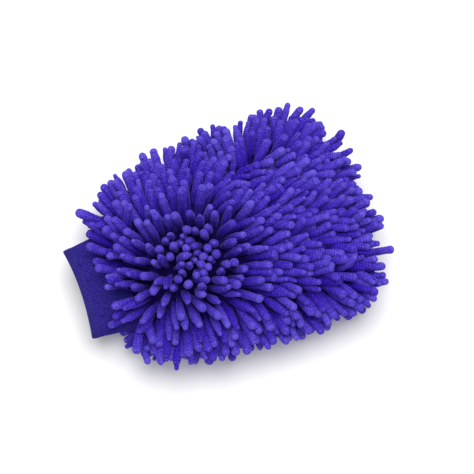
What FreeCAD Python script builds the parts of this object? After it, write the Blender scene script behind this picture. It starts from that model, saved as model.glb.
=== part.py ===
"""Chenille wash mitt: a sewn pocket of two pile panels with a lining and a knitted cuff.

The mitt lies on its lower pile. +Y runs from the cuff to the fingertips, +Z is up, and the origin
is the middle of the space it covers, on the surface it lies on. All sizes are millimetres.
"""

import FreeCAD
import Part
import math
import os

V = FreeCAD.Vector

DRIVING_SIZES = {
    # The cuff, a flattened knitted tube folded double at its mouth
    "cuff_length": 42.0,
    "mouth_half_width": 40.5,
    "cuff_flare": 0.13,
    "cuff_half_height": 9.0,
    "cuff_ply": 1.1,
    "cuff_ply_gap": 0.2,
    "hem_length": 7.5,
    "hem_swell": 0.6,
    "elastic_width": 5.6,
    "elastic_thickness": 1.0,
    "elastic_play": 0.1,
    "hinge_gap": 0.5,
    "flex_room_deg": 28.0,
    # The seam that joins the cuff to the pocket
    "join_length": 2.5,
    "join_swell": 0.4,
    "join_depth": 4.6,
    "stitch_radius": 0.4,
    "stitch_length": 2.4,
    "stitch_pitch": 3.6,
    # The pocket
    "pocket_length": 193.5,
    "seam_height": 26.0,
    "backing_thickness": 2.0,
    "allowance_width": 5.2,
    "allowance_thickness": 1.6,
    "allowance_gap": 0.2,
    "allowance_crest": 0.5,
    "allowance_start": 6.0,
    "side_stitch_start": 9.0,
    "layer_gap": 0.4,
    "lining_thickness": 0.9,
    "lining_side_room": 0.8,
    # The pile
    "noodle_radius": 3.7,
    "upper_noodle_length": 32.0,
    "longest_lower_noodle": 33.0,
    "noodle_root_depth": 0.6,
    "noodle_neck_radius": 1.7,
    "noodle_neck_length": 3.5,
    "noodle_pitch": 12.0,
    "row_count": 18.0,
    "first_row": 5.0,
    "last_row": 3.5,
    "seam_clearance": 6.0,
    "end_noodle_rise": 4.3,
    "pile_crown": 84.0,
    "upper_side_splay": 56.0,
    "upper_end_splay": 60.0,
    "lower_side_splay": 70.0,
    "lower_end_splay": 125.0,
    "lower_upright": 60.0,
    # A length greater than the whole mitt, for the boxes that trim it
    "beyond": 300.0,
}

# How the pocket swells along its length: share of the length from the cuff, half width,
# rise of the upper panel and drop of the lower panel from the seam plane
STATIONS = [
    (0.00, 46.0, 9.0, 9.0),
    (0.06, 57.0, 12.0, 8.8),
    (0.16, 66.0, 15.5, 8.4),
    (0.34, 72.0, 19.0, 8.0),
    (0.56, 74.5, 20.0, 8.0),
    (0.78, 76.5, 18.5, 8.0),
    (0.91, 74.5, 14.5, 7.4),
    (0.97, 67.0, 9.5, 5.8),
    (1.00, 54.0, 5.0, 4.0),
]

doc = FreeCAD.newDocument("WashMitt")
sheet = doc.addObject("Spreadsheet::Sheet", "Sizes")


def fill_sheet():
    """Writes every driving size to its own named cell."""
    cells = dict(DRIVING_SIZES)
    for number, (share, half_width, rise, drop) in enumerate(STATIONS):
        cells[f"station_share_{number}"] = share
        cells[f"half_width_{number}"] = half_width
        cells[f"upper_rise_{number}"] = rise
        cells[f"lower_rise_{number}"] = drop
    for line, (alias, value) in enumerate(cells.items(), start=1):
        sheet.set(f"A{line}", alias)
        sheet.set(f"B{line}", str(value))
        sheet.setAlias(f"B{line}", alias)
    doc.recompute()


def size(alias):
    return float(getattr(sheet, alias))


def bind(obj, **expressions):
    """Binds properties of an object to the sheet; names are written as Sizes.alias."""
    for name, expression in expressions.items():
        obj.setExpression(name.replace("__", "."), expression)
    return obj


def ellipse(name, half_width, half_height, place):
    """An upright ellipse across the mitt, centred on the seam plane."""
    curve = doc.addObject("Part::Ellipse", name)
    curve.Placement = FreeCAD.Placement(V(0, 0, 0), FreeCAD.Rotation(V(1, 0, 0), 90))
    return bind(
        curve,
        MajorRadius=half_width,
        MinorRadius=half_height,
        Placement__Base__y=place,
        Placement__Base__z="Sizes.seam_height",
    )


def oval_bar(name, inset, start, length):
    """A solid bar of the cuff's oval section, drawn in by the inset. It widens from the mouth."""
    ovals = []
    for end, place in (("near", start), ("far", f"({start}) + ({length})")):
        half_width = f"Sizes.mouth_half_width + Sizes.cuff_flare * ({place}) - ({inset})"
        half_height = f"Sizes.cuff_half_height - ({inset})"
        ovals.append(ellipse(f"{name}_{end}_oval", half_width, half_height, place))
    bar = doc.addObject("Part::Loft", name)
    bar.Sections = ovals
    bar.Solid = True
    bar.Ruled = True
    return bar


def cut(name, base, tool):
    result = doc.addObject("Part::Cut", name)
    result.Base = base
    result.Tool = tool
    return result


def oval_ring(name, outer_inset, inner_inset, start, length):
    """A tube of the cuff's oval section between two insets."""
    outer = oval_bar(name + "_outside", outer_inset, start, length)
    inner = oval_bar(name + "_inside", inner_inset, start, length)
    return cut(name, outer, inner)


def flex_room(name):
    """A double wedge that keeps the cuff's end clear of the seam while the cuff flexes."""
    halves = []
    flex = size("flex_room_deg")
    for side, turn in (("above", flex), ("below", -90 - flex)):
        box = doc.addObject("Part::Box", f"{name}_{side}")
        box.Placement.Rotation = FreeCAD.Rotation(V(1, 0, 0), turn)
        bind(
            box,
            Length="Sizes.beyond",
            Width="Sizes.cuff_length",
            Height="Sizes.cuff_length",
            Placement__Base__x="-Sizes.beyond / 2",
            Placement__Base__y="Sizes.cuff_length - Sizes.hinge_gap",
            Placement__Base__z="Sizes.seam_height",
        )
        halves.append(box)
    both = doc.addObject("Part::MultiFuse", name)
    both.Shapes = halves
    return both


def make_cuff():
    """The cuff's two plies, the hem at its mouth and the elastic inside the hem."""
    ply_start = "Sizes.hem_length"
    ply_length = "Sizes.cuff_length - Sizes.hinge_gap - Sizes.hem_length"
    inner_face = "2 * Sizes.cuff_ply + Sizes.cuff_ply_gap"

    outer = oval_ring("outer_ply_tube", "0", "Sizes.cuff_ply", ply_start, ply_length)
    inner = oval_ring(
        "inner_ply_tube", "Sizes.cuff_ply + Sizes.cuff_ply_gap", inner_face, ply_start, ply_length
    )
    outer_ply = cut("cuff_outer_ply", outer, flex_room("outer_flex_room"))
    inner_ply = cut("cuff_inner_ply", inner, flex_room("inner_flex_room"))

    hem_body = oval_ring(
        "hem_body", "-Sizes.hem_swell", f"{inner_face} + Sizes.hem_swell", "0", "Sizes.hem_length"
    )
    elastic_outside = "Sizes.cuff_ply + Sizes.cuff_ply_gap / 2 - Sizes.elastic_thickness / 2"
    elastic_inside = f"{elastic_outside} + Sizes.elastic_thickness"
    channel = oval_ring(
        "hem_channel",
        f"{elastic_outside} - Sizes.elastic_play",
        f"{elastic_inside} + Sizes.elastic_play",
        "Sizes.cuff_ply",
        "Sizes.hem_length - Sizes.cuff_ply",
    )
    hem = cut("cuff_hem", hem_body, channel)
    elastic = oval_ring(
        "cuff_elastic",
        elastic_outside,
        elastic_inside,
        "Sizes.cuff_ply + Sizes.elastic_play",
        "Sizes.elastic_width",
    )
    return [outer_ply, inner_ply, hem, elastic]


def pillow(name, side, side_inset, rise_inset, end_inset):
    """A closed lens along the pocket through the stations, drawn in by the three insets.

    The mouth's section keeps the smaller inset, so that every layer opens on the cuff.
    """
    sections = []
    for number in range(len(STATIONS)):
        length = f"(Sizes.pocket_length - ({end_inset}))"
        place = f"Sizes.cuff_length + Sizes.join_length + Sizes.station_share_{number} * {length}"
        drawn_in = rise_inset if number == 0 else side_inset
        sections.append(
            ellipse(
                f"{name}_section_{number}",
                f"Sizes.half_width_{number} - ({drawn_in})",
                f"Sizes.{side}_rise_{number} - ({rise_inset})",
                place,
            )
        )
    loft = doc.addObject("Part::Loft", name)
    loft.Sections = sections
    loft.Solid = True
    loft.Ruled = False
    return loft


def half_space(name, side):
    """A box on one side of the seam plane, larger than the pocket."""
    box = doc.addObject("Part::Box", name)
    below = " - Sizes.beyond" if side == "lower" else ""
    return bind(
        box,
        Length="Sizes.beyond",
        Width="Sizes.beyond",
        Height="Sizes.beyond",
        Placement__Base__x="-Sizes.beyond / 2",
        Placement__Base__z="Sizes.seam_height" + below,
    )


def half_skin(name, side, outer_insets, inner_insets):
    """One panel: the skin between two pillows on one side of the seam plane."""
    outer = pillow(name + "_outside", side, *outer_insets)
    inner = pillow(name + "_inside", side, *inner_insets)
    panel = doc.addObject("Part::MultiCommon", name)
    panel.Shapes = [cut(name + "_skin", outer, inner), half_space(name + "_half", side)]
    return panel


def make_panels():
    """The two knitted backings that carry the pile, and the two lining panels inside them."""
    thickness = "Sizes.backing_thickness"
    lining_side = f"{thickness} + Sizes.allowance_width + Sizes.lining_side_room"
    lining_rise = f"{thickness} + Sizes.layer_gap"
    panels = []
    for side in ("upper", "lower"):
        panels.append(half_skin(f"{side}_backing", side, ("0", "0", "0"), (thickness,) * 3))
        panels.append(
            half_skin(
                f"{side}_lining",
                side,
                (lining_side, lining_rise, lining_side),
                (
                    f"{lining_side} + Sizes.lining_thickness",
                    f"{lining_rise} + Sizes.lining_thickness",
                    f"{lining_side} + Sizes.lining_thickness",
                ),
            )
        )
    return panels


def make_side_seam():
    """The seam allowance that runs inside the pocket round its sides and its tip."""
    outer_inset = "Sizes.backing_thickness + Sizes.allowance_gap"
    inner_inset = "Sizes.backing_thickness + Sizes.allowance_width"
    outer = pillow("allowance_outside", "lower", outer_inset, outer_inset, outer_inset)
    inner = pillow("allowance_inside", "upper", inner_inset, "Sizes.allowance_crest", inner_inset)
    slab = doc.addObject("Part::Box", "allowance_slab")
    bind(
        slab,
        Length="Sizes.beyond",
        Width="Sizes.pocket_length",
        Height="Sizes.allowance_thickness",
        Placement__Base__x="-Sizes.beyond / 2",
        Placement__Base__y="Sizes.cuff_length + Sizes.join_length + Sizes.allowance_start",
        Placement__Base__z="Sizes.seam_height - Sizes.allowance_thickness / 2",
    )
    flat = doc.addObject("Part::MultiCommon", "allowance_flat")
    flat.Shapes = [outer, slab]
    return cut("side_seam_allowance", flat, inner)


def make_join():
    """The seam ring where the cuff, the backings and the linings are sewn together."""
    return oval_ring(
        "cuff_join_seam",
        "-Sizes.join_swell",
        "Sizes.join_depth",
        "Sizes.cuff_length",
        "Sizes.join_length",
    )


def round_bar(start, direction, radius, length, first_edges, shoulder):
    """Turns a bar's profile about its axis: the first edges, a straight side and a domed tip."""
    up = V(0, 0, 1)
    dome_start = V(radius, 0, length - radius)
    half = math.sqrt(0.5)
    dome_middle = V(radius * half, 0, length - radius * (1 - half))
    side = Part.LineSegment(shoulder, dome_start)
    dome = Part.Arc(dome_start, dome_middle, V(0, 0, length))
    axis = Part.LineSegment(V(0, 0, length), V(0, 0, 0))
    profile = Part.Wire([edge.toShape() for edge in first_edges + [side, dome, axis]])
    solid = Part.Face(profile).revolve(V(0, 0, 0), up, 360)
    solid.Placement = FreeCAD.Placement(start, FreeCAD.Rotation(up, direction))
    return solid


def noodle(start, direction, length):
    """A chenille noodle: a neck that widens from the cloth, a round bar and a domed tip."""
    radius = size("noodle_radius")
    neck = V(size("noodle_neck_radius"), 0, 0)
    shoulder = V(radius, 0, size("noodle_neck_length"))
    foot = [Part.LineSegment(V(0, 0, 0), neck), Part.LineSegment(neck, shoulder)]
    return round_bar(start, direction, radius, length, foot, shoulder)


def stitch(start, direction):
    """A short length of thread, domed at both ends."""
    radius = size("stitch_radius")
    half = math.sqrt(0.5)
    shoulder = V(radius, 0, radius)
    foot = [Part.Arc(V(0, 0, 0), V(radius * half, 0, radius * (1 - half)), shoulder)]
    return round_bar(start, direction, radius, size("stitch_length"), foot, shoulder)


def group(name, solids):
    """One sub-part made of several separate solids."""
    feature = doc.addObject("Part::Feature", name)
    feature.Shape = Part.makeCompound(solids)
    return feature


def across(half, y):
    """The curve of a panel's outside across the mitt at y, as one edge from side to side."""
    edges = [edge for wire in half.slice(V(0, 1, 0), y) for edge in wire.Edges]
    return max(edges, key=lambda edge: abs(edge.CenterOfMass.z - size("seam_height")))


def root_on(curve, distance):
    """The point of the curve at a distance along it."""
    return curve.valueAt(curve.getParameterByLength(distance))


def seam_margin(curve):
    """How far from the side seam a row starts, so that its end noodle clears the other side's."""
    margin = size("seam_clearance")
    while abs(root_on(curve, margin).z - size("seam_height")) < size("end_noodle_rise"):
        margin += size("noodle_root_depth")
    return margin


def noodle_direction(root, side):
    """Noodles fan out from the crown of the pile, so that no two of them cross."""
    along = root.y - size("cuff_length")
    if side == "upper":
        slope_x = root.x / size("upper_side_splay")
        slope_y = (along - size("pile_crown")) / size("upper_end_splay")
        return V(slope_x, slope_y, 1).normalize()
    slope_x = root.x / size("lower_side_splay")
    slope_y = max(0.0, along - size("lower_upright")) / size("lower_end_splay")
    return V(slope_x, slope_y, -1).normalize()


def noodle_length(root, direction, side):
    """Lower noodles are pressed: they end on the surface the mitt lies on."""
    if side == "upper":
        return size("upper_noodle_length")
    radius = size("noodle_radius")
    reach = radius + (root.z - radius) / abs(direction.z)
    return min(reach, size("longest_lower_noodle"))


def make_row(number, half, side):
    """One row of noodles, evenly spaced over the panel from side seam to side seam."""
    rows = int(size("row_count"))
    mouth = size("cuff_length") + size("join_length")
    first = mouth + size("first_row")
    last = mouth + size("pocket_length") - size("last_row")
    y = first + (last - first) * number / (rows - 1)
    curve = across(half, y)
    margin = seam_margin(curve)
    staggered = number % 2
    usable = curve.Length - 2 * margin
    gaps = max(2, int(usable / size("noodle_pitch")))
    gaps += (gaps + staggered) % 2
    step = usable / gaps
    solids = []
    for place in range(gaps + 1):
        root = root_on(curve, margin + step * place)
        direction = noodle_direction(root, side)
        length = noodle_length(root, direction, side) + size("noodle_root_depth")
        start = root - direction * size("noodle_root_depth")
        solids.append(noodle(start, direction, length))
    return group(f"{side}_noodle_row_{number + 1:02d}", solids)


def make_pile():
    rows = []
    for side in ("upper", "lower"):
        outside = doc.getObject(f"{side}_backing_outside").Shape
        box = doc.getObject(f"{side}_backing_half").Shape
        half = outside.common(box)
        rows += [make_row(number, half, side) for number in range(int(size("row_count")))]
    return rows


def stitches_along(points, lift, name):
    """Short thread stitches that lie along a line of points, half sunk into the seam."""
    solids = []
    for here, after in zip(points, points[1:]):
        direction = (after - here).normalize()
        middle = (here + after) * 0.5 + lift(here)
        solids.append(stitch(middle - direction * (size("stitch_length") / 2), direction))
    return group(name, solids)


def make_side_stitches():
    """The thread that closes the sides and the tip, on the seam allowance."""
    inset = "Sizes.backing_thickness + Sizes.allowance_width / 2"
    line = pillow("stitch_line", "upper", inset, inset, inset)
    doc.recompute()
    height = size("seam_height")
    outline = line.Shape.slice(V(0, 0, 1), height)[0]
    count = int(outline.Length / size("stitch_pitch"))
    start = size("cuff_length") + size("join_length") + size("side_stitch_start")
    points = [p for p in outline.discretize(count) if p.y > start]
    points.sort(key=lambda p: math.atan2(p.x, p.y - size("cuff_length")))
    raised = V(0, 0, size("allowance_thickness") / 2 + size("stitch_radius") / 2)
    return stitches_along(points, lambda p: raised, "side_seam_stitches")


def make_join_stitches():
    """The thread round the seam that joins the cuff."""
    y = size("cuff_length") + size("join_length") / 2
    a = size("mouth_half_width") + size("cuff_flare") * y + size("join_swell")
    b = size("cuff_half_height") + size("join_swell")
    oval = Part.Ellipse(V(0, 0, 0), a, b).toShape()
    count = int(oval.Length / size("stitch_pitch"))
    flat = oval.discretize(count)
    points = [V(p.x, y, size("seam_height") + p.y) for p in flat]

    def lift(here):
        outward = V(here.x / a**2, 0, (here.z - size("seam_height")) / b**2).normalize()
        return outward * (size("stitch_radius") / 4)

    return stitches_along(points, lift, "cuff_join_stitches")


def move_to_origin(parts):
    """The move that puts the origin at the bottom middle of the whole mitt."""
    whole = FreeCAD.BoundBox()
    for part in parts:
        for solid in part.Shape.Solids:
            whole.add(solid.optimalBoundingBox(False, False))
    move = V(-whole.Center.x, -whole.Center.y, -whole.ZMin)
    print("moved by", [round(x, 3) for x in move], "size", whole.XLength, whole.YLength, whole.ZLength)
    return move


def check(parts):
    """Stops if an object failed or a sub-part isn't a sound solid."""
    for obj in doc.Objects:
        if {"Invalid", "Error"} & set(obj.State):
            raise RuntimeError(f"{obj.Name} failed: {obj.State}")
    for part in parts:
        shape = part.Shape
        if shape.isNull() or not shape.isValid() or not shape.Solids:
            raise RuntimeError(f"{part.Name} has no valid solid")


def main():
    fill_sheet()
    parts = make_cuff() + make_panels() + [make_side_seam(), make_join()]
    doc.recompute()
    parts += make_pile() + [make_side_stitches(), make_join_stitches()]
    doc.recompute()
    for part in parts:
        part.Label = part.Name
    check(parts)
    move = move_to_origin(parts)
    os.makedirs("parts", exist_ok=True)
    for part in parts:
        shape = part.Shape.copy()
        shape.translate(move)
        shape.exportStep(f"parts/{part.Label}.step")
    print(len(parts), "sub-parts,", sum(len(p.Shape.Solids) for p in parts), "solids")


main()
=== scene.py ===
import math

import bpy
import numpy as np
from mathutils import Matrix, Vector
from mathutils.bvhtree import BVHTree


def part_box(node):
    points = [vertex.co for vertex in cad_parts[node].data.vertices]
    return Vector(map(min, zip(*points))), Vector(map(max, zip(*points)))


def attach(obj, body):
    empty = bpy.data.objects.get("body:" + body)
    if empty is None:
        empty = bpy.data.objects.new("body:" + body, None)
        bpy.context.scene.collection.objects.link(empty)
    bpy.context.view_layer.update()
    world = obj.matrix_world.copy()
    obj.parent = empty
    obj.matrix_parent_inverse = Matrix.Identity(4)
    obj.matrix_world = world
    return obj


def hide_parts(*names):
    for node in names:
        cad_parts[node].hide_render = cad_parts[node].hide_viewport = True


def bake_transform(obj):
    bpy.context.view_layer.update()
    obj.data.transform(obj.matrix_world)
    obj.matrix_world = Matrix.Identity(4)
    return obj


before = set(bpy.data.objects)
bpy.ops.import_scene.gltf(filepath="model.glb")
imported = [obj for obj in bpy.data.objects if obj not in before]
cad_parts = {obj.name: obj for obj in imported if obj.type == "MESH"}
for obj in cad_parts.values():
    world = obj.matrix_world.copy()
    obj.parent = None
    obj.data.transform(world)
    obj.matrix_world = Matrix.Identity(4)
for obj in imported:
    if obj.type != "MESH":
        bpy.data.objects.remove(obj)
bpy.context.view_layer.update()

# A chenille wash mitt lying on its lower pile. All sizes are metres and angles radians. Places
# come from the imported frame: +Y runs from the cuff to the fingertips and +Z is up.

MM = 0.001
random = np.random.default_rng(20)

seam_z = (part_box("side_seam_allowance")[0].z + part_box("side_seam_allowance")[1].z) / 2
pocket_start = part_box("upper_backing")[0].y
pocket_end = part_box("upper_backing")[1].y
pocket_length = pocket_end - pocket_start
pocket_half_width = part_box("upper_backing")[1].x

# The pile, planted in as many rows as the frame's, but more closely along each row
SIDES = ("upper", "lower")
ROWS = 18
FIRST_ROW = 5.0 * MM
LAST_ROW = 3.5 * MM
ROW_PITCH = 5.2 * MM
CUFF_ROW_PITCH = 0.75
ZIGZAG = 2.9 * MM
ROOT_JITTER = 0.6 * MM
SEAM_MARGIN = 4.0 * MM

# One noodle
NOODLE_RADIUS = 3.5 * MM
RADIUS_SPREAD = 0.06
UPPER_LENGTH = 31.0 * MM
LOWER_LENGTH = 29.0 * MM
LENGTH_SPREAD = 1.8 * MM
NECK = 0.62
NECK_SHARE = 0.5
RIB_PITCH = 1.75 * MM
RIB_DEPTH = 0.22 * MM
LINKS = 8
SIDES_ROUND = 12
SAMPLES_PER_RIB = 4
DOME_RINGS = 5

# How the pile is brushed
PARTED_AT = (14 * MM, 0.19)
CROWN_AT = (8 * MM, 0.30)
CROWN_FACES = (0.24, -0.12, 0.96)
CROWN_REACH = (34 * MM, 42 * MM, 50 * MM)
CROWN_PINCH = 0.22
FINGER_LEAN = math.radians(75)
PARTING_WIDTH = 0.14
LEFT_PARTING = (0.20, 0.60)
LEFT_LEAN = math.radians(80)
LEFT_SWEEP = ((0, 0.15, 0.3, 0.6, 0.75, 0.95), (-0.7, -0.1, 0.25, 0.2, 0.5, 1.2))
RIGHT_PARTING = (0.46, 0.34)
RIGHT_LEAN = math.radians(82)
RIGHT_SWEEP = ((0, 1), (-0.5, 0.9))
LOWER_LEAN = math.radians(66)
PARTING_SEED = 23
HEADING_SEED = 4
LEAN_SEED = 21
LOWER_SEED = 22
PARTING_WANDER = 0.06
HEADING_WANDER = 0.30
CALMER_AT_EDGE = 0.2
EDGE_FROM = 0.6
EDGE_RUN = 0.4
HEADING_SHAKE = 0.15
LEAN_WANDER = 0.2
LEAN_SHAKE = 0.11
STRAY_SHAKE = 2.6
CROWN_EDGE = 0.35
CROWN_FADE = 1.1
LOWER_WANDER = 0.6
LOWER_WANDER_REACH = 1.2
LOWER_HEADING_SHAKE = 0.2
LOWER_EDGE_LEAN = 0.25
LOWER_LEAN_SHAKE = 0.12
STRAYS = 0.08
PRESSED = 0.9
FLOOR_GAP = 0.05 * MM

# How the pile settles, for each step
STEPS = 320
FIRST_SPRING = 0.05
LAST_SPRING = 0.012
SAG = 0.03 * MM
STRAIGHTENING = 0.25
PUSH = 0.36
SLACK = 0.25
FIND_PAIRS_EVERY = 12
PAIR_MARGIN = 1.5 * MM
FIND_CLOTH_EVERY = 6
LOOSE_UNTIL = 0.9

# How a noodle leaves the cloth
ROOT_DEPTH = 0.5 * MM
SEAM_PULL = 0.75
SEAM_FROM = 0.85
SEAM_RUN = 0.6
CURL = 0.5
CURL_STARTS = 0.4
FIRST_TURN = 0.35
TURN_RATE = 1.8

# A noodle's unevenness
PHASES = 4
RIB_WAVER = 0.1
LUMP_DEPTHS = (0.04, 0.025)
OVAL_DEPTHS = (0.04, 0.025)
TIP_FROM = 0.72
TIP_RUN = 0.28
POINTED = (-0.3, 0.5)
SHARPNESS = (0.85, 1.3)
DOME_POWER = 0.9
FUZZ = 0.016
# The rib value given to the domed tips, for the painted shade between the ribs
DOME_CREST = 0.8


# Reading the frame


def tree_of(node):
    """A CAD node's mesh as a tree for rays and nearest points."""
    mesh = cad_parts[node].data
    points = [v.co.copy() for v in mesh.vertices]
    return BVHTree.FromPolygons(points, [tuple(p.vertices) for p in mesh.polygons])


def outside_point(tree, y, aim):
    """Where a ray from far out towards the seam line first meets the tree, and its normal."""
    hit = tree.ray_cast(Vector((0, y, seam_z)) + aim * 0.3, -aim, 0.3)
    return None if hit[0] is None else (np.array(hit[0]), np.array(hit[1]))


def section(tree, y, side, half_height, count=121):
    """A panel's outside across the mitt at y, from side seam to side seam."""
    sign = 1.0 if side == "upper" else -1.0
    found = []
    for angle in np.linspace(0.002, math.pi - 0.002, count):
        aim = Vector((pocket_half_width * math.cos(angle), 0, sign * half_height * math.sin(angle)))
        found.append(outside_point(tree, y, aim.normalized()))
    found = [point for point in found if point is not None]
    places = np.array([p for p, _ in found])
    normals = np.array([n for _, n in found])
    run = np.concatenate([[0], np.cumsum(np.linalg.norm(np.diff(places, axis=0), axis=1))])
    return places, normals, run


def at_distance(line, distance):
    places, normals, run = line
    place = np.array([np.interp(distance, run, places[:, i]) for i in range(3)])
    normal = np.array([np.interp(distance, run, normals[:, i]) for i in range(3)])
    return place, normal / np.linalg.norm(normal)


def smooth_step(x):
    x = np.clip(x, 0, 1)
    return x * x * (3 - 2 * x)


def unit(vectors):
    return vectors / (np.linalg.norm(vectors, axis=-1, keepdims=True) + 1e-12)


# Planting, brushing and settling the pile


def plant_rows():
    """Roots of every noodle: position, normal, side and row."""
    roots, normals, sides, rows = [], [], [], []
    for side_number, side in enumerate(SIDES):
        tree = tree_of(f"{side}_backing")
        low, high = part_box(f"{side}_backing")
        half_height = max(high.z - seam_z, seam_z - low.z)
        for row in range(ROWS):
            share = row / (ROWS - 1)
            y = pocket_start + FIRST_ROW + share * (pocket_length - LAST_ROW - FIRST_ROW)
            zigzag = min(ZIGZAG, pocket_end - y - ROOT_JITTER)
            lines = [section(tree, y + dy, side, half_height) for dy in (-zigzag, zigzag)]
            pitch = ROW_PITCH * (CUFF_ROW_PITCH if row == 0 else 1)
            count = int(round((lines[0][2][-1] - 2 * SEAM_MARGIN) / pitch)) + 1
            for place in range(count):
                line = lines[place % 2]
                usable = line[2][-1] - 2 * SEAM_MARGIN
                distance = SEAM_MARGIN + usable * place / (count - 1)
                position, facing = at_distance(line, distance + random.normal(0, ROOT_JITTER))
                roots.append(position)
                normals.append(facing)
                sides.append(side_number)
                rows.append(row)
    return np.array(roots), np.array(normals), np.array(sides), np.array(rows)


def wander(x, y, seed, scale=0.0075):
    """Slow waves over the pile, from about -1 to 1, that make neighbours lean together."""
    waves = np.random.default_rng(seed).uniform(-1, 1, (7, 3))
    total = np.zeros_like(x)
    for kx, ky, phase in waves:
        total += np.sin(kx * x / scale + ky * y / scale + phase * math.pi)
    return total / 3.2


def leaning(heading, lean, up):
    """Directions that lean by an angle from up towards a flat heading (x, y)."""
    flat = np.concatenate([heading, np.zeros((len(heading), 1))], axis=1)
    return unit(np.cos(lean)[:, None] * up + np.sin(lean)[:, None] * unit(flat))


def turned(heading, angle):
    c, s = np.cos(angle), np.sin(angle)
    return np.stack([c * heading[:, 0] - s * heading[:, 1], s * heading[:, 0] + c * heading[:, 1]], 1)


def brushed_above(x, y):
    """The upper pile stands at its crown and leans away from the point where it was parted, and
    beyond a parting on each side it falls outwards, more and more towards the fingertips."""
    share = (y - pocket_start) / pocket_length
    away = np.stack([x - PARTED_AT[0], (share - PARTED_AT[1]) * pocket_length], axis=1)
    aside, front, back = CROWN_REACH
    ahead = (share - CROWN_AT[1]) * pocket_length
    out = np.stack([(x - CROWN_AT[0]) / aside, ahead / np.where(ahead > 0, front, back)], axis=1)
    from_crown = np.linalg.norm(out, axis=1)
    left = x < 0
    sweep = np.where(left, np.interp(share, *LEFT_SWEEP), np.interp(share, *RIGHT_SWEEP))
    outward = np.stack([np.sign(x) * np.cos(sweep), np.sin(sweep)], axis=1)
    start, slope = np.where(left[:, None], LEFT_PARTING, RIGHT_PARTING).T
    parting = start + slope * share + PARTING_WANDER * wander(x, y, PARTING_SEED)
    beside = smooth_step((np.abs(x) / pocket_half_width - parting) / PARTING_WIDTH)
    stray = random.uniform(0, 1, len(x)) < STRAYS
    shake = random.normal(0, 1, (len(x), 2)) * np.where(stray, STRAY_SHAKE, 1)[:, None]
    heading = unit(away) * (1 - beside)[:, None] + outward * beside[:, None]
    steady = smooth_step((np.abs(x) / pocket_half_width - EDGE_FROM) / EDGE_RUN)
    amount = HEADING_WANDER - CALMER_AT_EDGE * steady
    turn = amount * wander(x, y, HEADING_SEED) + HEADING_SHAKE * shake[:, 0]
    heading = turned(unit(heading), turn)
    lean = FINGER_LEAN * smooth_step((from_crown - CROWN_EDGE) / CROWN_FADE)
    lean = lean * (1 - beside) + np.where(left, LEFT_LEAN, RIGHT_LEAN) * beside
    lean += LEAN_WANDER * wander(x, y, LEAN_SEED) + LEAN_SHAKE * shake[:, 1]
    way = leaning(heading, lean, unit(np.array(CROWN_FACES)))
    way[:, :2] -= CROWN_PINCH * np.maximum(0, 1 - from_crown)[:, None] * out
    return unit(way)


def brushed_below(x, y):
    """The lower pile is pressed flat and points outwards."""
    mid_y = (pocket_start + pocket_end) / 2
    spread = np.stack([x / pocket_half_width, (y - mid_y) / (pocket_length / 2)], axis=1)
    edge = np.linalg.norm(spread, axis=1)
    inner = np.maximum(0, LOWER_WANDER_REACH - edge)
    stray = LOWER_WANDER * wander(x, y, LOWER_SEED) * inner
    stray = stray + random.normal(0, LOWER_HEADING_SHAKE, len(x))
    lean = LOWER_LEAN + LOWER_EDGE_LEAN * smooth_step(edge)
    lean = lean + random.normal(0, LOWER_LEAN_SHAKE, len(x))
    return leaning(turned(unit(spread), stray), lean, np.array([0.0, 0.0, -1.0]))


def skin_tree():
    """One closed tube round the cuff and the pocket, from which noodles are pushed out. Some
    still cut into the cloth when the pile has settled."""
    nodes = ("cuff_hem", "cuff_outer_ply", "cuff_join_seam", "upper_backing", "lower_backing")
    trees = {node: tree_of(node) for node in nodes}
    stretches = [
        ("cuff_hem", "cuff_hem", 3),
        ("cuff_outer_ply", "cuff_outer_ply", 6),
        ("cuff_join_seam", "cuff_join_seam", 2),
        ("upper_backing", "lower_backing", 50),
    ]
    angles = np.linspace(0, 2 * math.pi, 72, endpoint=False)
    aims = [Vector((math.cos(a), 0, 0.25 * math.sin(a))).normalized() for a in angles]
    rings = []
    for above, below, count in stretches:
        low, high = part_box(above)
        for y in np.linspace(low.y + 0.3 * MM, high.y - 0.3 * MM, count):
            ring = [outside_point(trees[above if aim.z >= 0 else below], y, aim) for aim in aims]
            if None not in ring:
                rings.append([point[0] for point in ring])
    count = len(angles)
    faces = []
    for ring in range(len(rings) - 1):
        for a in range(count):
            b = (a + 1) % count
            here, there = ring * count, (ring + 1) * count
            faces.append((here + a, there + a, there + b, here + b))
    faces.append(tuple(range(count)))
    faces.append(tuple(reversed(range((len(rings) - 1) * count, len(rings) * count))))
    return BVHTree.FromPolygons([Vector(p) for ring in rings for p in ring], faces)


def close_pairs(points, owner, reach):
    """Pairs of points of different noodles that are nearer than reach."""
    first, second = [], []
    squares = (points**2).sum(1)
    step = 600
    for start in range(0, len(points), step):
        part = slice(start, start + step)
        gaps = squares[part, None] + squares[None, start:] - 2 * points[part] @ points[start:].T
        i, j = np.nonzero(gaps < reach * reach)
        i, j = i + start, j + start
        keep = (i < j) & (owner[i] != owner[j])
        first.append(i[keep])
        second.append(j[keep])
    return np.concatenate(first), np.concatenate(second)


def radius_share(share):
    """A noodle is narrow where it leaves the cloth and reaches its full width further up."""
    return NECK + (1 - NECK) * smooth_step(share / NECK_SHARE)


def hold_lengths(chains, link, loose):
    """Gives every link its length again, from the root to the tip."""
    for n in range(1, LINKS):
        along = chains[:, n] - chains[:, n - 1]
        length = np.linalg.norm(along, axis=1)[:, None] + 1e-9
        if loose and n > 1:
            slack = SLACK * (1 - link[:, None] / length) * along
            chains[:, n - 1] += slack
            chains[:, n] -= slack
            along = chains[:, n] - chains[:, n - 1]
            length = np.linalg.norm(along, axis=1)[:, None] + 1e-9
        chains[:, n] = chains[:, n - 1] + along / length * link[:, None]


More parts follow.
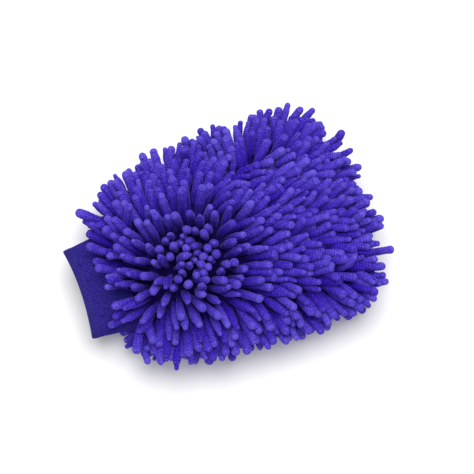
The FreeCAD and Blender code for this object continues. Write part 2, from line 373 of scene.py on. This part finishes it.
def settle(goal, link, steps):
    """Noodles spring to their brushed shape, keep their length and push each other, the cloth
    under them and the surface they lie on. Some still overlap when the last step is done."""
    chains = goal.copy()
    count = len(chains)
    owner = np.repeat(np.arange(count), LINKS)
    place = np.tile(np.arange(LINKS), count)
    radius = NOODLE_RADIUS * radius_share(place / (LINKS - 1))
    thickness = PRESSED * radius
    clearance = thickness * np.minimum(1, place / 2)
    tree = skin_tree()
    near_point = np.zeros((count * LINKS, 3))
    near_normal = np.zeros((count * LINKS, 3))
    for step in range(steps):
        late = step / steps
        chains[:, 1:] += (FIRST_SPRING * (1 - late) + LAST_SPRING) * (goal[:, 1:] - chains[:, 1:])
        chains[:, 2:, 2] -= SAG
        bend = STRAIGHTENING * ((chains[:, :-2] + chains[:, 2:]) / 2 - chains[:, 1:-1])
        chains[:, 1:-1] += bend
        chains[:, 2:] -= bend / 2
        chains[:, 1:-2] -= bend[:, 1:] / 2
        points = chains.reshape(-1, 3)
        if step % FIND_PAIRS_EVERY == 0:
            i, j = close_pairs(points, owner, 2 * NOODLE_RADIUS + PAIR_MARGIN)
        if step % FIND_CLOTH_EVERY == 0:
            for n, point in enumerate(points):
                near_point[n], near_normal[n] = tree.find_nearest(Vector(point))[:2]
        apart = points[i] - points[j]
        distance = np.linalg.norm(apart, axis=1) + 1e-9
        overlap = np.maximum(0, thickness[i] + thickness[j] - distance)
        push = (PUSH * overlap / distance)[:, None] * apart
        for axis in range(3):
            points[:, axis] += np.bincount(i, push[:, axis], len(points))
            points[:, axis] -= np.bincount(j, push[:, axis], len(points))
        depth = clearance - ((points - near_point) * near_normal).sum(1)
        points += np.maximum(0, depth)[:, None] * near_normal
        points[:, 2] = np.maximum(points[:, 2], radius)
        chains = points.reshape(count, LINKS, 3)
        chains[:, 0] = goal[:, 0]
        hold_lengths(chains, link, late < LOOSE_UNTIL)
    return chains


def make_chains():
    """The settled centre line of every noodle, with its length, side and row."""
    roots, normals, sides, rows = plant_rows()
    x, y = roots[:, 0], roots[:, 1]
    wanted = np.where((sides == 0)[:, None], brushed_above(x, y), brushed_below(x, y))
    beside_seam = SEAM_PULL * smooth_step((SEAM_FROM - np.abs(normals[:, 2:])) / SEAM_RUN)
    wanted = unit(wanted * (1 - beside_seam) + normals * beside_seam)
    lengths = np.where(sides == 0, UPPER_LENGTH, LOWER_LENGTH)
    lengths = lengths + random.normal(0, LENGTH_SPREAD, len(roots))
    link = (lengths - NOODLE_RADIUS) / (LINKS - 1)
    curl = unit(random.normal(0, 1, (len(roots), 3)))
    curl = curl * random.uniform(0, CURL, len(roots))[:, None]
    goal = np.zeros((len(roots), LINKS, 3))
    goal[:, 0] = roots - normals * ROOT_DEPTH
    for n in range(1, LINKS):
        share = n / (LINKS - 1)
        turn = min(1.0, FIRST_TURN + TURN_RATE * share)
        way = normals * (1 - turn) + wanted * turn + curl * (share - CURL_STARTS)
        goal[:, n] = goal[:, n - 1] + unit(way) * link[:, None]
    chains = settle(goal, link, STEPS)
    return chains, lengths, sides, rows


# Making meshes


def mesh_piece(name, vertices, quads=(), triangles=()):
    """A smooth mesh object from arrays of vertices, quads and triangles."""
    quads = np.asarray(quads, np.int32).reshape(-1, 4)
    triangles = np.asarray(triangles, np.int32).reshape(-1, 3)
    corners = np.concatenate([quads.ravel(), triangles.ravel()])
    sizes = np.repeat([4, 3], [len(quads), len(triangles)]).astype(np.int32)
    mesh = bpy.data.meshes.new(name)
    mesh.vertices.add(len(vertices))
    mesh.vertices.foreach_set("co", np.asarray(vertices, np.float32).ravel())
    mesh.loops.add(len(corners))
    mesh.loops.foreach_set("vertex_index", corners)
    mesh.polygons.add(len(sizes))
    mesh.polygons.foreach_set("loop_start", (np.cumsum(sizes) - sizes).astype(np.int32))
    mesh.polygons.foreach_set("use_smooth", np.ones(len(sizes), bool))
    mesh.update(calc_edges=True)
    mesh.validate()
    piece = bpy.data.objects.new(name, mesh)
    bpy.context.scene.collection.objects.link(piece)
    return piece


def attribute(piece, name, values):
    layer = piece.data.attributes.new(name, "FLOAT", "POINT")
    layer.data.foreach_set("value", np.asarray(values, np.float32).ravel())


def curve_through(chains, distances, link):
    """Points at distances along smooth Catmull-Rom curves through the chains."""
    before = 2 * chains[:, :1] - chains[:, 1:2]
    after = 2 * chains[:, -1:] - chains[:, -2:-1]
    padded = np.concatenate([before, chains, after], axis=1)
    t = distances / link[:, None]
    index = np.clip(t.astype(int), 0, LINKS - 2)
    f = (t - index)[:, :, None]
    each = np.arange(len(chains))[:, None]
    p0, p1, p2, p3 = (padded[each, index + n] for n in range(4))
    ends = 2 * p1 + (p2 - p0) * f
    return 0.5 * (ends + (2 * p0 - 5 * p1 + 4 * p2 - p3) * f**2 + (3 * p1 - p0 - 3 * p2 + p3) * f**3)


def carried_frames(line):
    """Two directions across each line that turn as little as they can along it."""
    tangent = unit(np.gradient(line, axis=1))
    across = unit(np.cross(tangent[:, 0], np.array([0.31, 0.83, 0.46])))
    first = np.zeros_like(line)
    for n in range(line.shape[1]):
        across = unit(across - (across * tangent[:, n]).sum(1)[:, None] * tangent[:, n])
        first[:, n] = across
    return first, np.cross(tangent, first)


def bar_faces(rings, count):
    """Faces of closed bars: quads between the rings, and fans to a root and a tip vertex."""
    per = rings * SIDES_ROUND + 2
    r, a = np.meshgrid(np.arange(rings - 1) * SIDES_ROUND, np.arange(SIDES_ROUND), indexing="ij")
    b = (a + 1) % SIDES_ROUND
    quads = np.stack([r + a, r + b, r + SIDES_ROUND + b, r + SIDES_ROUND + a], axis=-1).reshape(-1, 4)
    a = np.arange(SIDES_ROUND)
    b = (a + 1) % SIDES_ROUND
    last = (rings - 1) * SIDES_ROUND
    fans = np.concatenate(
        [
            np.stack([np.full(SIDES_ROUND, per - 2), b, a], axis=1),
            np.stack([np.full(SIDES_ROUND, per - 1), last + a, last + b], axis=1),
        ]
    )
    shift = (np.arange(count) * per)[:, None, None]
    return (quads[None] + shift).reshape(-1, 4), (fans[None] + shift).reshape(-1, 3)


def noodle_row(name, chains, lengths):
    """One mesh of many ribbed chenille bars with domed tips."""
    count = len(chains)
    link = (lengths - NOODLE_RADIUS) / (LINKS - 1)
    body = (lengths - NOODLE_RADIUS)[:, None]
    ribs = int(round(float(body.mean()) / RIB_PITCH))
    rings = ribs * SAMPLES_PER_RIB + 1
    share = np.linspace(0, 1, rings)
    phase = random.uniform(0, 2 * math.pi, (count, PHASES))
    swing = share * ribs + RIB_WAVER * np.sin(share * 23 + phase[:, 3:])
    wave = 0.5 + 0.5 * np.cos(2 * math.pi * swing)
    depth = RIB_DEPTH * (0.75 + 0.35 * np.sin(share * 11 + phase[:, 2:3]))
    lump = 1 + LUMP_DEPTHS[0] * np.sin(share * 8 + phase[:, :1])
    lump = lump + LUMP_DEPTHS[1] * np.sin(share * 19 + phase[:, 1:2])
    size = NOODLE_RADIUS * random.normal(1.0, RADIUS_SPREAD, (count, 1))
    pointed = np.maximum(0, random.uniform(*POINTED, (count, 1)))
    tip = 1 - pointed * smooth_step((share - TIP_FROM) / TIP_RUN)
    radii = size * radius_share(share) * lump * tip - depth * (1 - wave)
    dome = np.linspace(0, math.pi / 2, DOME_RINGS + 2)[1:-1]
    sharp = random.uniform(*SHARPNESS, (count, 1)) * radii[:, -1:]
    distance = np.concatenate([share * body, body + sharp * np.sin(dome)], axis=1)
    radius = np.concatenate([radii, radii[:, -1:] * np.cos(dome) ** DOME_POWER], axis=1)
    line = curve_through(chains, np.minimum(distance, body * 0.9999), link)
    end_way = unit(line[:, rings - 1] - line[:, rings - 3])[:, None, :]
    line[:, rings:] += (distance[:, rings:] - body)[:, :, None] * end_way
    tips = line[:, rings - 1] + sharp * end_way[:, 0]
    first, second = carried_frames(line)
    angles = np.linspace(0, 2 * math.pi, SIDES_ROUND, endpoint=False)
    oval = 1 + OVAL_DEPTHS[0] * np.cos(2 * angles + phase[:, :1])
    oval = oval + OVAL_DEPTHS[1] * np.cos(3 * angles + phase[:, 1:2])
    fuzz = random.normal(1, FUZZ, (count, line.shape[1], SIDES_ROUND))
    reach = radius[:, :, None] * oval[:, None, :] * fuzz
    spokes = first[:, :, None] * np.cos(angles)[:, None] + second[:, :, None] * np.sin(angles)[:, None]
    rings_out = (line[:, :, None, :] + spokes * reach[..., None]).reshape(count, -1, 3)
    vertices = np.concatenate([rings_out, line[:, :1], tips[:, None]], axis=1)
    vertices[..., 2] = np.maximum(vertices[..., 2], FLOOR_GAP)
    quads, triangles = bar_faces(line.shape[1], count)
    piece = mesh_piece(name, vertices.reshape(-1, 3), quads, triangles)
    # Painted shade: the rib value is low in the grooves between the ribs, and it darkens the pile's
    # colour there
    crest = np.concatenate([wave, np.full((count, DOME_RINGS), DOME_CREST)], axis=1)
    ends = np.full((count, 2), DOME_CREST)
    crest = np.concatenate([np.repeat(crest, SIDES_ROUND, axis=1), ends], axis=1)
    # Painted shade and light: reach runs from 0 at the root to 1 at the tip, darkening the colour
    # towards the root and lightening it towards the tip
    far = np.repeat(np.concatenate([share, np.ones(DOME_RINGS)]), SIDES_ROUND)
    attribute(piece, "rib", crest)
    attribute(piece, "reach", np.tile(np.concatenate([far, [0, 1]]), count))
    attribute(piece, "tone", np.repeat(random.normal(0, 1, count), vertices.shape[1]))
    return piece


def grid_quads(rows, columns, close_rows=False):
    """Quads of a grid that closes on itself across its columns, and along its rows if asked."""
    last = rows if close_rows else rows - 1
    r, c = np.meshgrid(np.arange(last), np.arange(columns), indexing="ij")
    r2, c2 = (r + 1) % rows, (c + 1) % columns
    corners = [r * columns + c, r2 * columns + c, r2 * columns + c2, r * columns + c2]
    return np.stack(corners, axis=-1).reshape(-1, 4)


# The cuff

CUFF_WALES = 120
WALE_DEPTH = 0.13 * MM
HEM_RIBS = 130
HEM_RIB_DEPTH = 0.4 * MM
MOUTH_HOLLOW = 3.4 * MM
GATHERS = 34
GATHER_DEPTH = 0.45 * MM
GATHER_REACH = 16 * MM
PLY_ROWS = 44
COLUMNS_PER_WALE = 4
PLY_TUCK = 1.2 * MM
COURSE_DEPTH = 0.05 * MM
COURSE_RUN = 0.45 * MM
CUFF_SAG = 0.5 * MM
FLATTER_MOUTH = 0.10
COLUMNS_PER_RIB = 5
BAND_POINTS = 20
BAND_SQUARENESS = 0.45

cuff_low, cuff_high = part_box("cuff_outer_ply")
cuff_half_height = (cuff_high.z - cuff_low.z) / 2
hem_low, hem_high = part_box("cuff_hem")
join_low, join_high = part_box("cuff_join_seam")
join_swell = (join_high.z - join_low.z) / 2 - cuff_half_height
hem_swell = (hem_high.z - hem_low.z) / 2 - cuff_half_height
mouth_y = hem_low.y
hem_end = hem_high.y
cuff_flare = (join_high.x - join_swell - hem_high.x + hem_swell) / (join_high.y - hem_high.y)
mouth_half_width = join_high.x - join_swell - cuff_flare * (join_high.y - mouth_y)
ply = 1.1 * MM
ply_gap = 0.2 * MM


def cuff_point(angle, y, inset):
    """A point of the cuff's oval, drawn in by inset. The mouth is hollowed on its flat sides."""
    half_width = mouth_half_width + cuff_flare * (y - mouth_y)
    normal = unit(np.stack([np.cos(angle) / half_width, np.sin(angle) / cuff_half_height], axis=-1))
    towards_mouth = np.clip((join_low.y - y) / (join_low.y - mouth_y), 0, 1)
    flat = cuff_half_height * (1 - FLATTER_MOUTH * towards_mouth)
    sag = CUFF_SAG * np.sin(2 * angle + 0.6) * np.sin(math.pi * towards_mouth)
    x = half_width * np.cos(angle) - inset * normal[..., 0]
    z = seam_z + flat * np.sin(angle) - inset * normal[..., 1] + sag
    along = y + MOUTH_HOLLOW * np.sin(angle) ** 2 * towards_mouth**1.5
    return np.stack([x, along, z], axis=-1)


def ply_tube(name, inset, wales, side):
    """One ply of the cuff: a knitted tube from the hem into the join, with wales along it."""
    columns = wales * COLUMNS_PER_WALE
    angles = np.linspace(0, 2 * math.pi, columns, endpoint=False)
    rows = PLY_ROWS
    places = np.linspace(hem_end - PLY_TUCK, join_low.y + PLY_TUCK, rows)
    angle, y = np.meshgrid(angles, places)
    near_join = smooth_step((y - (join_low.y - GATHER_REACH)) / GATHER_REACH)
    gather = GATHER_DEPTH * near_join * np.sin(GATHERS * angle + 1.5 * np.sin(3 * angle))
    gather *= np.clip((join_low.y + PLY_TUCK - y) / (3 * MM), 0.15, 1)
    wale = WALE_DEPTH * np.abs(np.sin(wales * angle / 2))
    course = COURSE_DEPTH * np.sin(y / COURSE_RUN)
    face = cuff_point(angle, y, inset - gather - (wale + course if side > 0 else 0))
    back = cuff_point(angle, y, inset + ply - gather + (wale if side < 0 else 0))
    loop = np.concatenate([face, back[::-1]], axis=0)
    piece = mesh_piece(name, loop.reshape(-1, 3), grid_quads(2 * rows, columns, close_rows=True))
    # Painted shade: the wale grooves get a low rib value, which darkens the knit's colour there
    crest = np.abs(np.sin(wales * angle / 2))
    attribute(piece, "rib", np.concatenate([crest, crest[::-1]]))
    return piece


def band(name, start, end, inset, thickness, ribs, rib_depth):
    """A rounded band round the cuff's oval, with ribs across it."""
    columns = ribs * COLUMNS_PER_RIB
    angles = np.linspace(0, 2 * math.pi, columns, endpoint=False)
    turn = np.linspace(0, 2 * math.pi, BAND_POINTS, endpoint=False)
    side = np.sign(np.cos(turn)) * np.abs(np.cos(turn)) ** BAND_SQUARENESS
    rise = np.sign(np.sin(turn)) * np.abs(np.sin(turn)) ** BAND_SQUARENESS
    angle, s = np.meshgrid(angles, side)
    _, r = np.meshgrid(angles, rise)
    crest = 0.5 + 0.5 * np.cos(ribs * angle)
    half = thickness / 2 - rib_depth * (1 - crest)
    y = (start + end) / 2 + s * ((end - start) / 2 - rib_depth * 0.5 * (1 - crest))
    loop = cuff_point(angle, y, inset + thickness / 2 - r * half)
    quads = grid_quads(BAND_POINTS, columns, close_rows=True)[:, ::-1]
    piece = mesh_piece(name, loop.reshape(-1, 3), quads)
    # Painted shade: the grooves between the ribs get a low rib value, which darkens the band's colour
    # there
    attribute(piece, "rib", crest)
    return piece


def bends_at_cuff(piece):
    """A piece that crosses the join, cloth or noodles, gets its placing baked into its mesh; it is
    attached to neither the mitt nor the cuff.
    """
    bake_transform(piece)


def make_cuff(knit, ribbed, rubber, seam_cloth):
    outer = ply_tube("cuff_outer_cloth", 0.0, CUFF_WALES, 1)
    inner = ply_tube("cuff_inner_cloth", ply + ply_gap, CUFF_WALES, -1)
    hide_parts("cuff_outer_ply")
    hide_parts("cuff_inner_ply")
    for piece in (outer, inner):
        piece.data.materials.append(knit)
        bends_at_cuff(piece)
    whole = 2 * ply + ply_gap
    hem = band("cuff_ribbed_hem", mouth_y, hem_end, -0.5 * MM, whole + 1.0 * MM, HEM_RIBS, HEM_RIB_DEPTH)
    hem.data.materials.append(ribbed)
    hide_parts("cuff_hem")
    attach(hem, "cuff")
    low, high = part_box("cuff_elastic")
    middle = whole / 2
    elastic = band("hem_elastic", low.y, high.y, middle - 0.5 * MM, 1.0 * MM, 90, 0.1 * MM)
    elastic.data.materials.append(rubber)
    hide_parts("cuff_elastic")
    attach(elastic, "cuff")
    seam = band("cuff_seam_band", join_low.y, join_high.y, -0.4 * MM, 5.0 * MM, 60, 0.12 * MM)
    seam.data.materials.append(seam_cloth)
    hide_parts("cuff_join_seam")
    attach(seam, "mitt")


# The pocket's cloth

PANEL_ROWS = 96
PANEL_COLUMNS = 240
SECTION_POINTS = 81
FOLD_SEED = 11
FOLD_SCALE = 0.004


def panel(name, node, side, thickness, wrinkle, rib_pitch):
    """A sewn panel: the frame's outside surface as cloth with courses and soft wrinkles."""
    rows, columns = PANEL_ROWS, PANEL_COLUMNS
    tree = tree_of(node)
    low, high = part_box(node)
    half_height = max(high.z - seam_z, seam_z - low.z)
    sign = 1.0 if side == "upper" else -1.0
    places = low.y + (high.y - low.y) * (np.linspace(0, 1, rows) * 0.996 + 0.002)
    outer = []
    normals = []
    for y in places:
        line_places, line_normals, run = section(tree, y, side, half_height, SECTION_POINTS)
        spread = np.linspace(0, run[-1], columns)
        outer.append([[np.interp(d, run, line_places[:, i]) for i in range(3)] for d in spread])
        normals.append([[np.interp(d, run, line_normals[:, i]) for i in range(3)] for d in spread])
    outer = np.array(outer)
    normals = unit(np.array(normals))
    course = np.sin(outer[..., 1] / rib_pitch * 2 * math.pi)
    folds = wander(outer[..., 0], outer[..., 1], FOLD_SEED, FOLD_SCALE)
    depth = wrinkle * (0.6 + 0.4 * folds) + 0.06 * MM * (1 - course)
    fade = smooth_step(np.abs(outer[..., 2] - seam_z) / (3 * MM))
    face = outer - normals * (depth * fade)[..., None]
    back = face - normals * (thickness * np.clip(fade, 0.35, 1))[..., None]
    back[..., 2] = seam_z + sign * np.maximum(0.02 * MM, sign * (back[..., 2] - seam_z))
    loop = np.concatenate([face, back[:, ::-1]], axis=1)
    quads = grid_quads(rows, 2 * columns)
    ends = []
    for row in (0, rows - 1):
        base = row * 2 * columns
        for c in range(columns - 1):
            quad = (base + c, base + c + 1, base + 2 * columns - 2 - c, base + 2 * columns - 1 - c)
            ends.append(quad if row == 0 else quad[::-1])
    quads = np.concatenate([quads, np.array(ends)])
    if side == "lower":
        quads = quads[:, ::-1]
    piece = mesh_piece(name, loop.reshape(-1, 3), quads)
    # Painted shade: the hollows of the courses get a low rib value, which darkens the cloth's colour
    # there
    attribute(piece, "rib", np.concatenate([course, course[:, ::-1]], axis=1) * 0.5 + 0.5)
    return piece


def make_pocket(backing, lining, thread):
    for side in SIDES:
        cloth = panel(f"{side}_pile_cloth", f"{side}_backing", side, 1.8 * MM, 0.1 * MM, 1.8 * MM)
        cloth.data.materials.append(backing)
        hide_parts(f"{side}_backing")
        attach(cloth, "mitt")
        cloth = panel(f"{side}_lining_cloth", f"{side}_lining", side, 0.7 * MM, 0.9 * MM, 0.9 * MM)
        cloth.data.materials.append(lining)
        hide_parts(f"{side}_lining")
        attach(cloth, "mitt")
    for node in ("side_seam_stitches", "cuff_join_stitches"):
        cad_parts[node].data.materials.clear()
        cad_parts[node].data.materials.append(thread)
    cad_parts["side_seam_allowance"].data.materials.clear()
    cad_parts["side_seam_allowance"].data.materials.append(backing)


def make_pile(material):
    chains, lengths, sides, rows = make_chains()
    for side_number, side in enumerate(SIDES):
        for row in range(ROWS):
            chosen = (sides == side_number) & (rows == row)
            number = f"{row + 1:02d}"
            piece = noodle_row(f"{side}_noodles_{number}", chains[chosen], lengths[chosen])
            piece.data.materials.append(material)
            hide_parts(f"{side}_noodle_row_{number}")
            if chains[chosen][..., 1].min() < pocket_start:
                bends_at_cuff(piece)
            else:
                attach(piece, "mitt")


# Materials


def new_material(name, roughness, sheen, sheen_roughness, sheen_tint):
    material = bpy.data.materials.new(name)
    material.use_nodes = True
    shader = material.node_tree.nodes["Principled BSDF"]
    shader.inputs["Roughness"].default_value = roughness
    shader.inputs["Specular IOR Level"].default_value = 0.05
    shader.inputs["Sheen Weight"].default_value = sheen
    shader.inputs["Sheen Roughness"].default_value = sheen_roughness
    shader.inputs["Sheen Tint"].default_value = (*sheen_tint, 1)
    return material, material.node_tree, shader


def named_value(tree, name):
    node = tree.nodes.new("ShaderNodeAttribute")
    node.attribute_name = name
    return node.outputs["Fac"]


def noise(tree, scale, detail):
    place = tree.nodes.new("ShaderNodeTexCoord")
    node = tree.nodes.new("ShaderNodeTexNoise")
    node.inputs["Scale"].default_value = scale
    node.inputs["Detail"].default_value = detail
    tree.links.new(place.outputs["Object"], node.inputs["Vector"])
    return node.outputs["Fac"]


def weighted_sum(tree, terms, start):
    """The start plus the sum of value times weight over the terms."""
    total = None
    for value, weight in terms:
        node = tree.nodes.new("ShaderNodeMath")
        node.operation = "MULTIPLY_ADD"
        tree.links.new(value, node.inputs[0])
        node.inputs[1].default_value = weight
        node.inputs[2].default_value = start
        if total is not None:
            tree.links.new(total, node.inputs[2])
        total = node.outputs[0]
    return total


def colour_ramp(tree, shader, factor, stops):
    node = tree.nodes.new("ShaderNodeValToRGB")
    elements = node.color_ramp.elements
    while len(elements) < len(stops):
        elements.new(0.5)
    for element, (place, colour) in zip(elements, stops):
        element.position = place
        element.color = (*colour, 1)
    tree.links.new(factor, node.inputs["Fac"])
    tree.links.new(node.outputs["Color"], shader.inputs["Base Color"])


def bump(tree, shader, height, strength, distance):
    node = tree.nodes.new("ShaderNodeBump")
    node.inputs["Strength"].default_value = strength
    node.inputs["Distance"].default_value = distance
    tree.links.new(height, node.inputs["Height"])
    tree.links.new(node.outputs["Normal"], shader.inputs["Normal"])


def chenille():
    """Deep violet pile, with painted shade between the ribs and at the root, and painted light towards
    the tip.
    """
    material, tree, shader = new_material("chenille", 0.95, 0.6, 0.3, (0.36, 0.27, 1.0))
    # rib and reach carry painted shade and light; tone and the noise are the pile's own uneven colour
    terms = [
        (named_value(tree, "rib"), 0.26),
        (named_value(tree, "tone"), 0.06),
        (named_value(tree, "reach"), 0.28),
        (noise(tree, 1300.0, 4.0), 1.6),
    ]
    value = weighted_sum(tree, terms, -0.60)
    deep, middle, pale = (0.007, 0.000, 0.22), (0.038, 0.012, 0.36), (0.155, 0.120, 0.66)
    colour_ramp(tree, shader, value, [(0.1, deep), (0.5, middle), (1.0, pale)])
    bump(tree, shader, noise(tree, 2400.0, 3.0), 0.6, 0.3 * MM)
    return material


def knitted(name, dark, light, scale, rib_shade_weight=0.3, yarn_weight=1.4):
    """Knitted cloth: its colour runs from dark to light with its yarn, and with painted shade that
    darkens the grooves between its ribs.
    """
    material, tree, shader = new_material(name, 0.9, 0.2, 0.4, (0.4, 0.32, 1.0))
    yarn = noise(tree, scale, 4.0)
    start = 0.5 - 0.5 * rib_shade_weight - 0.5 * yarn_weight
    value = weighted_sum(tree, [(named_value(tree, "rib"), rib_shade_weight), (yarn, yarn_weight)], start)
    colour_ramp(tree, shader, value, [(0.0, dark), (1.0, light)])
    bump(tree, shader, yarn, 0.5, 0.2 * MM)
    return material


def plain_thread(name, dark, light, roughness):
    material, tree, shader = new_material(name, roughness, 0.1, 0.5, (1, 1, 1))
    colour_ramp(tree, shader, noise(tree, 3000.0, 2.0), [(0.3, dark), (0.7, light)])
    bump(tree, shader, noise(tree, 5000.0, 1.0), 0.3, 0.1 * MM)
    return material


# Floor, lights and camera

FLOOR_HALF = 3.0
SKY_STRENGTH = 0.44
CAMERA_LENS = 100
CAMERA_AZIMUTH = math.radians(70)
CAMERA_ELEVATION = math.radians(73)
CAMERA_AIM = (0.0, 0.0132, 0.0326)
CAMERA_DISTANCE = 1.13


def make_stage():
    size = FLOOR_HALF
    corners = [(-size, -size, 0), (size, -size, 0), (size, size, 0), (-size, size, 0)]
    floor = mesh_piece("floor", corners, [(0, 1, 2, 3)])
    material = bpy.data.materials.new("floor")
    material.use_nodes = True
    shader = material.node_tree.nodes["Principled BSDF"]
    shader.inputs["Base Color"].default_value = (0.9, 0.9, 0.9, 1)
    shader.inputs["Roughness"].default_value = 0.9
    floor.data.materials.append(material)


def area_light(name, place, aim, width, power):
    data = bpy.data.lights.new(name, "AREA")
    data.shape = "DISK"
    data.size = width
    data.energy = power
    lamp = bpy.data.objects.new(name, data)
    bpy.context.scene.collection.objects.link(lamp)
    lamp.location = place
    lamp.rotation_mode = "QUATERNION"
    lamp.rotation_quaternion = (Vector(aim) - Vector(place)).to_track_quat("-Z", "Y")


def make_lights():
    world = bpy.data.worlds.new("studio")
    bpy.context.scene.world = world
    world.use_nodes = True
    world.node_tree.nodes["Background"].inputs["Color"].default_value = (1, 1, 1, 1)
    world.node_tree.nodes["Background"].inputs["Strength"].default_value = SKY_STRENGTH
    area_light("key", (-0.35, 0.25, 1.5), (0, 0, 0.03), 1.7, 28)
    area_light("fill", (1.1, -0.8, 1.0), (0, 0, 0.03), 1.0, 5)


def make_camera():
    """A long lens from high above the cuff's right side."""
    data = bpy.data.cameras.new("camera")
    camera = bpy.data.objects.new("camera", data)
    bpy.context.scene.collection.objects.link(camera)
    bpy.context.scene.camera = camera
    data.lens = CAMERA_LENS
    flat = math.cos(CAMERA_ELEVATION)
    aside, behind = math.sin(CAMERA_AZIMUTH) * flat, -math.cos(CAMERA_AZIMUTH) * flat
    back = Vector((aside, behind, math.sin(CAMERA_ELEVATION)))
    camera.location = Vector(CAMERA_AIM) + back * CAMERA_DISTANCE
    camera.rotation_mode = "QUATERNION"
    camera.rotation_quaternion = (-back).to_track_quat("-Z", "Y")


bpy.context.scene.view_settings.view_transform = "Standard"
make_camera()
make_lights()
make_stage()
make_pile(chenille())
# The dark ends are reached partly through the yarn's own mottling and partly through painted shade in
# the rib grooves; the hem's grooves, at full weight, are painted darkest
knit = knitted("cuff_knit", (0.005, 0.001, 0.07), (0.038, 0.028, 0.28), 900.0, 0.5, 2.4)
ribbed = knitted("hem_rib", (0.003, 0.001, 0.03), (0.048, 0.036, 0.30), 1600.0, 1.0)
seam_cloth = knitted("seam_cloth", (0.008, 0.004, 0.08), (0.035, 0.024, 0.24), 1500.0)
make_cuff(knit, ribbed, plain_thread("elastic", (0.5, 0.5, 0.48), (0.8, 0.8, 0.78), 0.7), seam_cloth)
# Painted shade: the backing cloth is the pile's violet darkened far below it, standing for the deep
# shade under the pile; the seam allowance shares it
backing = knitted("backing_knit", (0.003, 0.001, 0.04), (0.018, 0.008, 0.15), 1200.0)
lining = knitted("lining", (0.02, 0.012, 0.15), (0.06, 0.045, 0.34), 900.0)
make_pocket(backing, lining, plain_thread("thread", (0.03, 0.02, 0.2), (0.07, 0.05, 0.4), 0.6))
